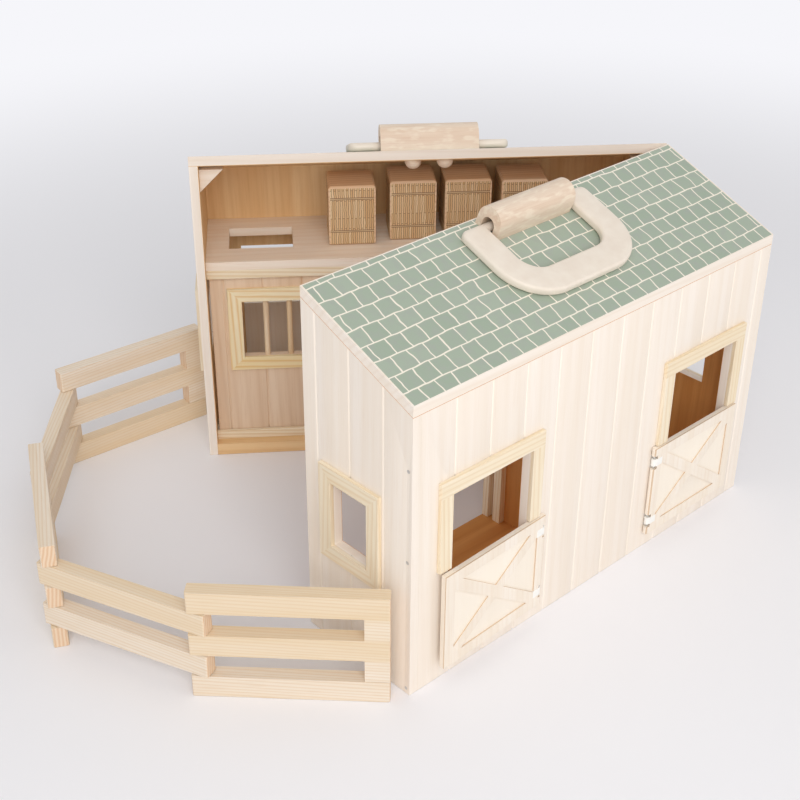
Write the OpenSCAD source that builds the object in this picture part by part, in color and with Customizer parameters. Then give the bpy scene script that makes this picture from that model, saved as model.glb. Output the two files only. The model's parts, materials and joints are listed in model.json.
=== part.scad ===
// Toy barn in two hinged halves, with stable doors, sliding stall doors, carry handles,
// a loft with hay bales and a folding paddock fence. Sizes are in millimetres.
// A half is drawn with its outer long wall on y = 0 and its open side at y = half_d.

/* [Barn half] */
// Length of a half along the ridge
half_l = 340; // [280:1:420]
// Depth of a half from its long wall to the ridge
half_d = 95; // [86:1:120]
// Height of the roof's top face at the eave
eave_h = 208.7; // [195:0.1:250]
// Slope of the roof
roof_pitch = 22.15; // [18:0.05:28]
// Thickness of the roof panel
roof_t = 6.8; // [5:0.1:8.5]
// Thickness of the walls and the room dividers
wall_t = 6.5; // [5:0.1:8.5]
// Thickness of the base board
base_t = 9.5; // [8:0.1:12]
// Gap between the two halves when they are shut
ridge_gap = 0.4; // [0.3:0.05:1]
// Angle between the halves as they stand
open_angle = 37.4; // [32:0.1:44]

/* [Board grooves] */
// Width of one board between two grooves
board_w = 29.4; // [24:0.1:40]
// Width of a V groove at the face
groove_w = 1.8; // [1:0.1:2.5]
// First groove from the end of the long wall
groove_first = 27.9; // [10:0.1:29]
// First groove of an end wall, from the long wall's face
groove_end_first = 24; // [10:0.1:29]

/* [Stable doors] */
// Distance from the end of the half to a door opening
door_end_gap = 31; // [26:0.5:40]
// Width of a door opening
door_w = 69; // [50:0.5:74]
// Height of the sill under a door opening
door_sill_z = 18; // [15:0.5:30]
// Height of the top of a door opening
door_top_z = 138.3; // [120:0.1:150]
// Thickness of the applied door and window trims
trim_t = 3; // [2:0.1:4]
// Width of the door trims
door_trim_w = 10; // [7:0.1:12]
// Thickness of a door leaf
leaf_t = 4; // [3.6:0.1:5]
// Height of a leaf's lower edge
leaf_bottom_z = 13; // [10:0.5:15]
// Height of a leaf's upper edge
leaf_top_z = 84; // [75:0.5:95]
// Overlap of a leaf past the opening on its hinge side
leaf_hinge_lap = 14.5; // [13:0.1:18]
// Overlap of a leaf past the opening on its free side
leaf_free_lap = 9; // [4:0.1:12]
// Width of a leaf's stiles, rails and braces
brace_w = 8; // [7:0.1:12]
// Depth of the four sunk triangles in a leaf
sunk_d = 1; // [0.6:0.1:1.4]
// Angle at which the near left leaf stands ajar
leaf_ajar = 2; // [0:0.5:20]

/* [End windows] */
// Width of a window opening
window_w = 32.5; // [26:0.1:36]
// Height of a window opening
window_h = 47.4; // [36:0.1:54]
// Distance from the open side to a window opening
window_back = 26.1; // [24:0.1:32]
// Height of a window sill
window_sill_z = 78.1; // [74:0.1:90]
// Width of the window trims and the stall door frames
frame_w = 10.7; // [8:0.1:12]

/* [Carry handle] */
// Width of the handle across its two arms
handle_w = 115; // [104:0.5:124]
// Width of the handle's arms and grip
grip_w = 20.3; // [17:0.1:22]
// Thickness of the handle
handle_t = 6.2; // [5:0.1:7]
// Lower edge of the grip, measured up the slope from the eave
grip_s = 25; // [18:0.5:30]
// Outer corner radius of the grip
grip_r = 34; // [24:0.5:36]
// Pivot of the handle, measured down the slope from the ridge
pivot_back = 12.7; // [12:0.1:20]
// Offset of the near half's handle from the middle of its roof
near_handle_x = 5; // [-6:0.5:6]
// Radius of the rounded back of the handle block
block_r = 9.8; // [9:0.1:11]
// Height of the block's straight feet
block_leg = 9.2; // [8:0.1:11]
// Radius of the arched sockets in the block
socket_r = 4.9; // [4:0.1:5.6]
// Height of the straight part of a socket
socket_leg = 6.2; // [5:0.1:7]
// Depth of each socket
socket_d = 16; // [10:0.5:18]
// Side gap between an arm and the block
arm_gap = 2.2; // [0.5:0.1:3]
// Radius of the half-ball caps under the roof
cap_r = 6; // [4:0.1:6.5]
// Distance of each cap from the middle of the far block
cap_x = 11.5; // [8:0.5:15]
// Distance of each cap from the middle of the near block
near_cap_x = 15.5; // [15:0.5:17]

/* [Loft] */
// Drop from the eave to the loft floor's top face
loft_drop = 46.7; // [42:0.1:48]
// Thickness of the loft floor
loft_t = 6.5; // [5:0.1:7]
// Setback of the loft floor from the ridge
loft_setback = 7.85; // [6:0.05:10]
// Distance from the left end of the half to the loft hatch
hatch_end_gap = 23.3; // [20:0.1:40]
// Length of the loft hatch
hatch_l = 48.2; // [36:0.1:52]
// Front edge of the hatch
hatch_y = 26.6; // [20:0.1:28]
// Width of the loft hatch
hatch_w = 36.6; // [28:0.1:38]
// Leg length of the corner gussets under the roof
gusset_l = 17; // [12:0.5:20]

/* [Stall doors] */
// Width of a sliding stall door
stall_w = 117.6; // [100:0.1:120]
// Thickness of a stall door's panel
stall_t = 5; // [4:0.1:5.2]
// Height of the grooved track strips
track_h = 7; // [6:0.1:8]
// Thickness of the lips beside the track grooves
lip_t = 3; // [2.6:0.1:3.4]
// Clearance on each side of a panel in its groove
lane_gap = 0.3; // [0.3:0.05:0.5]
// Lower edge of the applied window frame on a stall door
stall_frame_z = 70.7; // [66:0.1:76]
// Drop from the loft floor to the top of that frame
stall_frame_drop = 22.7; // [18:0.1:30]
// Width of the applied window frame on a stall door
stall_frame_w = 92; // [80:0.1:96]
// Diameter of the round stall bars
bar_d = 4.2; // [3:0.1:4.6]
// Number of bars in a stall window
bar_count = 3; // [2:1:4]

/* [Hay bales] */
// Length of a bale
bale_l = 35; // [28:0.5:38]
// Depth of a bale
bale_d = 34; // [30:0.5:36]
// Height of a bale
bale_h = 47; // [38:0.5:48]

/* [Fence] */
// Length of a fence rail
rail_l = 122; // [100:1:130]
// Thickness of a fence rail
rail_t = 10; // [8:0.1:12]
// Height from one rail level to the next
rail_pitch = 16.1; // [14:0.1:18]
// Gap between rails that cross at a pin
rail_gap = 0.4; // [0.3:0.05:0.8]
// Distance of a pin from the rail's end
pin_inset = 6.5; // [5.5:0.1:8]
// Diameter of the fence pins
pin_d = 4; // [3:0.1:5]
// Length of the blocks between the rails at the barn ends
block_l = 15.5; // [15:0.5:26]

/* [Barn hinges] */
// Diameter of a hinge knuckle
knuckle_d = 4; // [3.6:0.1:5]
// Diameter of the hinge pins
hinge_pin_d = 1.8; // [1.4:0.1:2]
// Height of a hinge leaf
hinge_h = 30; // [24:0.5:40]
// Width of a hinge leaf
hinge_w = 11; // [9:0.5:13]
// Thickness of a hinge leaf
hinge_t = 1; // [0.8:0.1:1.2]

/* [Hidden] */
$fn = 48;
CREAM = "#f1dfcb";
PINE = "#e3bd85";
SAGE = "#a8bda6";
TAN = "#c99a72";
BROWN = "#8a5a3c";
STRAW = "#c9a56c";
STEEL = "silver";
WHITE = "#f4f2ee";
RUN_GAP = 0.06;
SIDE_GAP = 0.4;
BEYOND = 1;
HALF_TURN = 180;

half_x = half_l / 2;
room_x = half_x - wall_t;
slope_t = roof_t / cos(roof_pitch);
ridge_s = half_d / cos(roof_pitch);
divider_t = wall_t;
loft_z = eave_h - loft_drop;
door_inner_x = half_x - door_end_gap - door_w;
window_y = half_d - window_back - window_w;
hatch_x = -half_x + hatch_end_gap;
stall_frame_h = loft_z - stall_frame_drop - stall_frame_z;

// Strips on the near divider: distance from the open side, and width
STRIPS = [[17, 7], [5.5, 5.5]];
strip_t = 5;
strip_top_air = 8;

// Door leaf and its strap hinges
leaf_gap = 0.4;
trim_leaf_air = 0.5;
leaf_axis_y = -leaf_gap - leaf_t / 2;
leaf_edge_x = door_inner_x - leaf_hinge_lap;
leaf_axis_x = leaf_edge_x + leaf_t / 2;
leaf_reach = door_inner_x + door_w + leaf_free_lap - leaf_axis_x;
leaf_h = leaf_top_z - leaf_bottom_z;
strap_h = 5.5;
strap_l = 6.5;
strap_t = 1;
strap_proud = 0.25;
strap_edge = 11;
staple_r = 0.8;
staple_half = 4.2;
staple_depth = 4;
notch_r = leaf_t / 2 + 0.35;
notch_half = staple_half + staple_r + 0.35;
eye_r = leaf_t / 2 - 0.1;
STRAP_ZS = [leaf_bottom_z + strap_edge, leaf_top_z - strap_edge];

// Nails in the walls, the handle blocks and the hinge leaves
nail_r = 0.6;
nail_l = 15;
hinge_nail_l = 6;
nail_head_r = 1.2;
nail_head_t = 0.6;
WALL_NAIL_ZS = [4, 101, 165];

// Main hinge on the right end walls
knuckle_air = 0.3;
hinge_x = half_x + knuckle_d / 2 + knuckle_air;
knuckle_cut = 0.3;
knuckles = 5;
knuckle_h = hinge_h / knuckles;
HINGE_ZS = [32, 168];
HINGE_NAIL_ZS = [7, 23];
hinge_nail_y = 6;
closed_y = half_d + ridge_gap / 2;

// Handle and its block
axis_h = handle_t / 2 + SIDE_GAP;
pivot_s = ridge_s - pivot_back;
block_half = handle_w / 2 - grip_w - arm_gap;
inner_r = 15;
stub_air = 1.5;

// Sliding door lanes, from the open side inwards
panel_lane = stall_t + 2 * lane_gap;
lane_pitch = panel_lane + lip_t;
track_d = 2 * panel_lane + 3 * lip_t;
track_front = half_d - loft_setback;
track_back = track_front - track_d;
groove_depth = 4.5;
header_z = loft_z - loft_t - track_h;
header_roof = loft_z - loft_t - (track_h - groove_depth);
sill_floor = base_t + track_h - groove_depth;
panel_clear = 0.4;
panel_z = sill_floor + panel_clear;
panel_top = header_roof - panel_clear;
stall_end_gap = 1.8;
stall_x = -room_x + stall_end_gap;
stall_frame_air = 0.2;
stall_frame_t = lip_t - lane_gap - stall_frame_air;
stall_frame_inset = 12.3;
stall_frame_x = stall_x + stall_frame_inset;
stall_groove_first = 9.7;
stall_bar_sink = 4;

// Hay bales in the far half: gap before each, and its front face
BALE_GAPS = [0, 11, 6.5, 7];
BALE_FRONTS = [65, 59, 59, 62.5];
bale_first_x = -71.5;
bale_lift = 0.3;
bale_edge = 1.5;

// Fence panels, from the far half's left end round to the near half's left end
BEARINGS = [175.4, 228.3, 243, 292, 314.6];
fence_air = 0.5;
fence_near_air = 2.8;
rail_h = rail_pitch - rail_gap;
rail_edge_r = 1.2;
pin_head_room = 5;
pin_foot = 2;

// Height of the roof's underside over a point at depth y
function under_z(y) = eave_h - slope_t + y * tan(roof_pitch);

// Row frame: origin under the middle of the near half's base
module near_half() {
    translate([0, -half_d / 2, 0]) children();
}

// The far half is the near half's mirror image, swung open about the hinge pins
module far_half() {
    near_half()
        translate([hinge_x, closed_y, 0])
            rotate([0, 0, -open_angle])
                translate([-hinge_x, closed_y, 0])
                    mirror([0, 1, 0])
                        children();
}

function far_point(p) = let (
    dx = p[0] - hinge_x,
    dy = closed_y - p[1],
    c = cos(-open_angle),
    s = sin(-open_angle)
) [hinge_x + c * dx - s * dy, closed_y + s * dx + c * dy - half_d / 2];

// A (y, z) outline pushed along x
module along_x(x0, length) {
    translate([x0, 0, 0]) rotate([90, 0, 90]) linear_extrude(length) children();
}

// An (x, z) outline pushed along y
module along_y(y0, length) {
    translate([0, y0 + length, 0]) rotate([90, 0, 0]) linear_extrude(length) children();
}

// Slope frame: x along the eave, y up the slope, z square to the roof
module on_slope(x) {
    translate([x, 0, eave_h]) rotate([roof_pitch, 0, 0]) children();
}

// A rectangle with round corners, from arcs and straight runs
module round_rect(size, r) {
    translate([r, 0]) square([size[0] - 2 * r, size[1]]);
    translate([0, r]) square([size[0], size[1] - 2 * r]);
    for (x = [r, size[0] - r], y = [r, size[1] - r])
        translate([x, y]) circle(r);
}

// One V groove down a face at y = 0
module groove(height) {
    rotate([0, 0, 45]) translate([-groove_w / sqrt(2) / 2, -groove_w / sqrt(2) / 2, -BEYOND])
        cube([groove_w / sqrt(2), groove_w / sqrt(2), height + 2 * BEYOND]);
}

// Four mitred lengths round an opening, drawn in a plane
module mitred_frame(size, w) {
    for (i = [0, 1]) {
        translate([0, i * size[1]]) mirror([0, i])
            polygon([[0, 0], [size[0], 0], [size[0] - w, w], [w, w]]);
        translate([i * size[0], 0]) mirror([i, 0])
            polygon([[0, 0], [w, w], [w, size[1] - w], [0, size[1]]]);
    }
}

// A nail with a flat head, driven along -z from its head at z = 0
module nail(length) {
    translate([0, 0, -length]) cylinder(h = length, r = nail_r);
    translate([0, 0, -nail_head_t]) cylinder(h = nail_head_t, r = nail_head_r);
}

module wall_nails() {
    for (side = [-1, 1], z = WALL_NAIL_ZS)
        translate([side * half_x, wall_t / 2, z]) rotate([0, side * 90, 0]) nail(nail_l);
}

// Nails up through the roof into the solid middle of the handle block
module block_nails(mid, spread) {
    on_slope(mid) for (x = [-spread, spread])
        translate([x, pivot_s, -roof_t]) rotate([HALF_TURN, 0, 0]) nail(nail_l);
}

// The two nails of each hinge leaf, through the leaf into the right end wall
module hinge_nails() {
    for (z = HINGE_ZS, dz = HINGE_NAIL_ZS)
        translate([half_x + hinge_t, half_d - hinge_nail_y, z + dz])
            rotate([0, 90, 0]) nail(hinge_nail_l);
}

module all_nails(mid, spread) {
    wall_nails();
    block_nails(mid, spread);
    hinge_nails();
}

module base() {
    translate([-room_x, wall_t, 0]) cube([2 * room_x, half_d - wall_t, base_t]);
}

// Steel staples that hold the strap hinges: an upright on the hinge axis and two legs
module staple() {
    translate([0, 0, -staple_half]) cylinder(h = 2 * staple_half, r = staple_r, $fn = 24);
    for (z = [-staple_half, staple_half]) translate([0, 0, z]) {
        sphere(staple_r, $fn = 24);
        rotate([-90, 0, 0]) cylinder(h = staple_depth - leaf_axis_y, r = staple_r, $fn = 24);
    }
}

module door_staples() {
    for (side = [-1, 1], z = STRAP_ZS)
        translate([side * leaf_axis_x, leaf_axis_y, z]) staple();
}

module long_wall() {
    difference() {
        along_x(-room_x, 2 * room_x)
            polygon([[0, 0], [wall_t, 0], [wall_t, under_z(wall_t)], [0, under_z(0)]]);
        for (side = [-1, 1])
            translate([side * (door_inner_x + door_w / 2) - door_w / 2, -BEYOND, door_sill_z])
                cube([door_w, wall_t + 2 * BEYOND, door_top_z - door_sill_z]);
        for (x = [-room_x + groove_first : board_w : room_x - groove_w])
            translate([x, 0, 0]) groove(eave_h);
        wall_nails();
        door_staples();
    }
}

// side is -1 for the left end wall and 1 for the right one
module end_wall(side) {
    difference() {
        along_x(side * (half_x - wall_t / 2) - wall_t / 2, wall_t)
            polygon([[0, 0], [half_d, 0], [half_d, under_z(half_d)], [0, under_z(0)]]);
        translate([side * half_x - wall_t - BEYOND, window_y, window_sill_z])
            cube([2 * (wall_t + BEYOND), window_w, window_h]);
        for (y = [groove_end_first : board_w : half_d - groove_w])
            translate([side * half_x, y, 0]) groove(eave_h + half_d);
        wall_nails();
        if (side > 0) hinge_nails();
    }
}

module roof(mid, spread) {
    difference() {
        along_x(-half_x, half_l)
            polygon([[0, under_z(0)], [half_d, under_z(half_d)],
                [half_d, under_z(half_d) + slope_t], [0, eave_h]]);
        block_nails(mid, spread);
    }
}

// Divider between the two lower rooms
module near_divider() {
    along_x(-divider_t / 2, divider_t)
        polygon([[wall_t, base_t], [half_d, base_t],
            [half_d, under_z(half_d)], [wall_t, under_z(wall_t)]]);
}

// Two upright strips on the divider's left face, with a slot between them
module divider_strips() {
    top = under_z(half_d - STRIPS[0][0]) - strip_top_air;
    for (strip = STRIPS)
        along_x(-divider_t / 2 - strip_t, strip_t)
            translate([half_d - strip[0], base_t]) square([strip[1], top - base_t]);
}

module door_trims() {
    trim_foot = leaf_top_z + trim_leaf_air;
    for (side = [-1, 1]) {
        mid = side * (door_inner_x + door_w / 2);
        along_y(-trim_t, trim_t)
            translate([mid - door_w / 2 - door_trim_w, door_top_z])
                square([door_w + 2 * door_trim_w, frame_w]);
        for (edge = [-1, 1])
            along_y(-trim_t, trim_t)
                translate([mid + edge * (door_w + door_trim_w) / 2 - door_trim_w / 2, trim_foot])
                    square([door_trim_w, door_top_z - trim_foot]);
    }
}

module window_trims() {
    for (side = [-1, 1])
        along_x(side * (half_x + trim_t / 2) - trim_t / 2, trim_t)
            translate([window_y - frame_w, window_sill_z - frame_w])
                mitred_frame([window_w + 2 * frame_w, window_h + 2 * frame_w], frame_w);
}

// Outline of the handle block's end: a round back on two straight feet
module arch(r, leg) {
    translate([0, leg]) circle(r);
    translate([-r, 0]) square([2 * r, leg]);
}

module handle_block(mid, spread) {
    difference() {
        on_slope(mid) translate([0, pivot_s, 0]) difference() {
            along_x(-block_half, 2 * block_half) intersection() {
                arch(block_r, block_leg);
                translate([-block_r, 0]) square([2 * block_r, block_r + block_leg]);
            }
            for (side = [-1, 1])
                along_x(side * (block_half - socket_d / 2 + BEYOND / 2) - (socket_d + BEYOND) / 2,
                    socket_d + BEYOND)
                    union() {
                        arch(socket_r, socket_leg);
                        translate([-socket_r, -BEYOND]) square([2 * socket_r, 2 * BEYOND]);
                    }
        }
        block_nails(mid, spread);
    }
}

// Half-balls of wood that cover the nail heads under the roof
module block_caps(mid, spread) {
    on_slope(mid) for (x = [-spread, spread])
        translate([x, pivot_s, -roof_t]) intersection() {
            sphere(cap_r);
            translate([0, 0, -cap_r]) cylinder(h = cap_r, r = 2 * cap_r);
        }
}

// Plan of a U with its open end at s1
module u_plan(w, s0, s1, r) {
    intersection() {
        union() {
            translate([-w / 2, s0 + r]) square([w, s1 - s0]);
            translate([-w / 2 + r, s0]) square([w - 2 * r, s1 - s0]);
            for (x = [-w / 2 + r, w / 2 - r])
                translate([x, s0 + r]) circle(r, $fn = 96);
        }
        translate([-w / 2, s0]) square([w, s1 - s0]);
    }
}

// A flat U with round stubs that turn in the block's sockets
module handle(mid) {
    stub_l = socket_d - stub_air;
    on_slope(mid) {
        translate([0, 0, axis_h - handle_t / 2]) linear_extrude(handle_t) difference() {
            u_plan(handle_w, grip_s, pivot_s, grip_r);
            u_plan(handle_w - 2 * grip_w, grip_s + grip_w, pivot_s + BEYOND, inner_r);
        }
        for (side = [-1, 1])
            translate([side * handle_w / 2, pivot_s, axis_h]) rotate([0, -side * 90, 0])
                cylinder(h = grip_w + arm_gap + stub_l, r = handle_t / 2);
    }
}

// Leaf frame: hinge axis on z, leaf along +x, front face towards -y
module leaf_place(side, ajar) {
    translate([side * leaf_axis_x, leaf_axis_y, 0])
        mirror([side < 0 ? 1 : 0, 0, 0])
            rotate([0, 0, -ajar])
                children();
}

module strap_body(z, clear) {
    translate([0, -leaf_t / 2 - strap_proud, z - strap_h / 2])
        cube([strap_l, strap_t + strap_proud + clear, strap_h]);
}

// One sunk triangle between a stile or rail and the two diagonals
module sunk_panel(p, q, r) {
    translate([0, -leaf_t / 2 + sunk_d, 0]) rotate([90, 0, 0])
        linear_extrude(sunk_d + BEYOND) polygon([p, q, r]);
}

module leaf(side, ajar) {
    x0 = brace_w - leaf_t / 2;
    x1 = leaf_reach - brace_w;
    z0 = leaf_bottom_z + brace_w;
    z1 = leaf_top_z - brace_w;
    xm = (x0 + x1) / 2;
    zm = (z0 + z1) / 2;
    bx = brace_w * sqrt(pow(x1 - x0, 2) + pow(z1 - z0, 2)) / (z1 - z0) / 2;
    bz = bx * (z1 - z0) / (x1 - x0);
    leaf_place(side, ajar) difference() {
        union() {
            translate([0, 0, leaf_bottom_z]) cylinder(h = leaf_h, r = leaf_t / 2);
            translate([0, -leaf_t / 2, leaf_bottom_z]) cube([leaf_reach, leaf_t, leaf_h]);
        }
        sunk_panel([x0 + bx, z1], [x1 - bx, z1], [xm, zm + bz]);
        sunk_panel([x0 + bx, z0], [x1 - bx, z0], [xm, zm - bz]);
        sunk_panel([x0, z0 + bz], [x0, z1 - bz], [xm - bx, zm]);
        sunk_panel([x1, z0 + bz], [x1, z1 - bz], [xm + bx, zm]);
        for (z = STRAP_ZS) {
            translate([0, 0, z - notch_half]) cylinder(h = 2 * notch_half, r = notch_r);
            strap_body(z, 0);
        }
    }
}

// White straps: an eye round the staple and a tab let into the leaf's face
module straps(side, ajar) {
    leaf_place(side, ajar) for (z = STRAP_ZS)
        difference() {
            union() {
                translate([0, 0, z - strap_h / 2]) cylinder(h = strap_h, r = eye_r);
                strap_body(z, 0);
            }
            translate([0, 0, z - strap_h])
                cylinder(h = 2 * strap_h, r = staple_r + RUN_GAP, $fn = 24);
        }
}

// Knuckles first, first + 2, first + 4 of a hinge and the leaf on the right end wall
module hinge_side(first) {
    for (z = HINGE_ZS) difference() {
        union() {
            for (i = [first : 2 : knuckles - 1]) {
                translate([hinge_x, closed_y, z + i * knuckle_h + knuckle_cut / 2])
                    cylinder(h = knuckle_h - knuckle_cut, d = knuckle_d);
                translate([half_x, half_d - hinge_t, z + i * knuckle_h + knuckle_cut / 2])
                    cube([hinge_t, closed_y - half_d + hinge_t, knuckle_h - knuckle_cut]);
            }
            translate([half_x, half_d - hinge_w, z])
                cube([hinge_t, hinge_w - knuckle_d / 2 - SIDE_GAP, hinge_h]);
            for (i = [first : 2 : knuckles - 1])
                translate([half_x, half_d - knuckle_d, z + i * knuckle_h + knuckle_cut / 2])
                    cube([hinge_t, knuckle_d, knuckle_h - knuckle_cut]);
        }
        translate([hinge_x, closed_y, z - BEYOND])
            cylinder(h = hinge_h + 2 * BEYOND, r = hinge_pin_d / 2 + (first == 0 ? 0 : RUN_GAP));
        hinge_nails();
    }
}

module hinge_rods() {
    for (z = HINGE_ZS)
        translate([hinge_x, closed_y, z]) cylinder(h = hinge_h, d = hinge_pin_d);
}

module loft_floor() {
    difference() {
        translate([-room_x, wall_t, loft_z - loft_t])
            cube([2 * room_x, half_d - loft_setback - wall_t, loft_t]);
        translate([hatch_x, hatch_y, loft_z - loft_t - BEYOND])
            cube([hatch_l, hatch_w, loft_t + 2 * BEYOND]);
    }
}

module far_divider() {
    translate([-divider_t / 2, wall_t, base_t])
        cube([divider_t, track_back - wall_t, loft_z - loft_t - base_t]);
}

// Two grooves along a track strip, from level z0 to level z1
module track_grooves(z0, z1) {
    for (i = [0, 1])
        translate([-room_x - BEYOND, track_back + lip_t + i * lane_pitch, z0])
            cube([2 * (room_x + BEYOND), panel_lane, z1 - z0]);
}

module track_header() {
    difference() {
        translate([-room_x, track_back, header_z]) cube([2 * room_x, track_d, track_h]);
        track_grooves(header_z - BEYOND, header_roof);
    }
}

module track_sill() {
    difference() {
        translate([-room_x, track_back, base_t]) cube([2 * room_x, track_d, track_h]);
        track_grooves(sill_floor, base_t + track_h + BEYOND);
    }
}

// Small triangles under the roof, against the end walls
module gussets() {
    gusset_y = half_d - 2 * wall_t;
    top = under_z(gusset_y);
    for (side = [-1, 1])
        along_y(gusset_y, wall_t)
            polygon([[side * room_x, top], [side * (room_x - gusset_l), top],
                [side * room_x, top - gusset_l]]);
}

// Front face of a stall door's panel: lane 0 is the front lane
function panel_y(lane) = track_front - lip_t - lane_gap - stall_t - lane * lane_pitch;

module stall_place(side, lane) {
    translate([0, panel_y(lane), 0]) mirror([side > 0 ? 1 : 0, 0, 0]) children();
}

module stall_opening(grow) {
    translate([stall_frame_x + frame_w - grow, stall_frame_z + frame_w - grow])
        square([stall_frame_w - 2 * (frame_w - grow), stall_frame_h - 2 * (frame_w - grow)]);
}

module stall_panel(side, lane) {
    stall_place(side, lane) difference() {
        translate([stall_x, 0, panel_z]) linear_extrude(panel_top - panel_z) difference() {
            square([stall_w, stall_t]);
            for (x = [stall_groove_first : board_w : stall_w - groove_w])
                translate([x, stall_t]) rotate(45) square(groove_w / sqrt(2), center = true);
        }
        translate([0, -BEYOND, 0]) along_y(0, stall_t + 2 * BEYOND) stall_opening(0);
        stall_bar_rods();
    }
}

module stall_frame(side, lane) {
    stall_place(side, lane)
        translate([0, stall_t, 0]) along_y(0, stall_frame_t)
            translate([stall_frame_x, stall_frame_z])
                mitred_frame([stall_frame_w, stall_frame_h], frame_w);
}

module stall_bar_rods() {
    gap = (stall_frame_w - 2 * frame_w) / (bar_count + 1);
    for (i = [1 : bar_count])
        translate([stall_frame_x + frame_w + i * gap, stall_t / 2,
            stall_frame_z + frame_w - stall_bar_sink])
            cylinder(h = stall_frame_h - 2 * frame_w + 2 * stall_bar_sink, d = bar_d, $fn = 32);
}

module stall_bars(side, lane) {
    stall_place(side, lane) stall_bar_rods();
}

function bale_x(i) = i == 0 ? bale_first_x : bale_x(i - 1) + bale_l + BALE_GAPS[i];

module bale(i) {
    translate([bale_x(i), BALE_FRONTS[i] - bale_d, loft_z + bale_lift])
        intersection() {
            along_x(0, bale_l) bale_side([bale_d, bale_h]);
            along_y(0, bale_d) bale_side([bale_l, bale_h]);
        }
}

// A rectangle with small bevelled corners
module bale_side(size) {
    e = bale_edge;
    polygon([[e, 0], [size[0] - e, 0], [size[0], e], [size[0], size[1] - e],
        [size[0] - e, size[1]], [e, size[1]], [0, size[1] - e], [0, e]]);
}

// Joint i of the fence; joint 0 is the barn end of panel 1 and joint 5 that of panel 5
span = rail_l - 2 * pin_inset;
function step_l(i) = i == 1 || i == 5 ? rail_l - pin_inset : span;
function bearing_vec(i) = [cos(BEARINGS[i - 1]), sin(BEARINGS[i - 1])];
function corner(angle) = rail_t / 2 * abs(sin(angle));
function chain(i) = i == 0 ? [0, 0] : chain(i - 1) + step_l(i) * bearing_vec(i);

// The start slides along the far end wall until the last panel clears the near end wall
fence_start_x = -half_x - trim_t - fence_air - corner(BEARINGS[0] + open_angle);
fence_end_x = -half_x - trim_t - fence_near_air - corner(BEARINGS[4]);
fence_start_y = closed_y - (fence_end_x - chain(5)[0] - hinge_x
    - cos(open_angle) * (fence_start_x - hinge_x)) / sin(open_angle);
function fence_joint(i) = far_point([fence_start_x, fence_start_y]) + chain(i);

// Panel frame: rails along +x, joint at the origin
module panel_place(i, at) {
    p = fence_joint(at);
    translate([p[0], p[1], 0]) rotate([0, 0, BEARINGS[i - 1]]) children();
}

module rail(level, x0, length) {
    translate([x0, -rail_t / 2, (level - 1) * rail_pitch + (level == 1 ? 0 : rail_gap / 2)])
        linear_extrude(rail_h) round_rect([length, rail_t], rail_edge_r);
}

module pin_rods(xs, r) {
    top = 4 * rail_pitch + rail_h - pin_head_room;
    for (x = xs)
        translate([x, 0, pin_foot]) cylinder(h = top - pin_foot, r = r, $fn = 32);
}

// Panels 1, 3 and 5 have rails on levels 1, 3 and 5; panels 2 and 4 on levels 2 and 4
module outer_panel(i) {
    ends = i == 1 ? [step_l(1)] : i == 5 ? [0] : [0, span];
    x0 = i == 1 ? 0 : -pin_inset;
    panel_place(i, i - 1) difference() {
        union() {
            for (level = [1, 3, 5]) rail(level, x0, rail_l);
            if (i != 3) for (level = [2, 4])
                translate([i == 1 ? 0 : step_l(5) - block_l, -rail_t / 2,
                    (level - 1) * rail_pitch - rail_gap / 2])
                    cube([block_l, rail_t, rail_pitch + rail_gap]);
        }
        pin_rods(ends, pin_d / 2 + RUN_GAP);
    }
}

module inner_panel(i) {
    panel_place(i, i - 1) difference() {
        union() for (level = [2, 4]) rail(level, -pin_inset, rail_l);
        pin_rods([0, span], pin_d / 2);
    }
}

module inner_pins(i) {
    panel_place(i, i - 1) pin_rods([0, span], pin_d / 2);
}

// One coloured module for every node
module near_base() color(CREAM) near_half() base();
module near_long_wall() color(CREAM) near_half() long_wall();
module near_left_wall() color(CREAM) near_half() end_wall(-1);
module near_right_wall() color(CREAM) near_half() end_wall(1);
module near_roof() color(SAGE) near_half() roof(near_handle_x, near_cap_x);
module near_partition() color(CREAM) near_half() near_divider();
module near_partition_strips() color(PINE) near_half() divider_strips();
module near_door_trims() color(PINE) near_half() door_trims();
module near_window_trims() color(PINE) near_half() window_trims();
module near_handle_block() color(CREAM) near_half() handle_block(near_handle_x, near_cap_x);
module near_block_caps() color(CREAM) near_half() block_caps(near_handle_x, near_cap_x);
module near_door_staples() color(STEEL) near_half() door_staples();
module near_nails() color(STEEL) near_half() all_nails(near_handle_x, near_cap_x);
module near_hinge_leaves() color(STEEL) near_half() hinge_side(0);
module hinge_pins() color(STEEL) near_half() hinge_rods();
module near_left_leaf() color(PINE) near_half() leaf(-1, leaf_ajar);
module near_left_straps() color(WHITE) near_half() straps(-1, leaf_ajar);
module near_right_leaf() color(PINE) near_half() leaf(1, 0);
module near_right_straps() color(WHITE) near_half() straps(1, 0);
module near_handle() color(CREAM) near_half() handle(near_handle_x);
module far_base() color(TAN) far_half() base();
module far_long_wall() color(TAN) far_half() long_wall();
module far_left_wall() color(TAN) far_half() end_wall(-1);
module far_right_wall() color(TAN) far_half() end_wall(1);
module far_roof() color(SAGE) far_half() roof(0, cap_x);
module far_partition() color(BROWN) far_half() far_divider();
module far_door_trims() color(PINE) far_half() door_trims();
module far_window_trims() color(PINE) far_half() window_trims();
module far_handle_block() color(CREAM) far_half() handle_block(0, cap_x);
module far_block_caps() color(CREAM) far_half() block_caps(0, cap_x);
module far_door_staples() color(STEEL) far_half() door_staples();
module far_nails() color(STEEL) far_half() all_nails(0, cap_x);
module far_hinge_leaves() color(STEEL) far_half() hinge_side(1);
module far_loft_floor() color(TAN) far_half() loft_floor();
module far_track_header() color(TAN) far_half() track_header();
module far_track_sill() color(TAN) far_half() track_sill();
module far_gussets() color(TAN) far_half() gussets();
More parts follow.
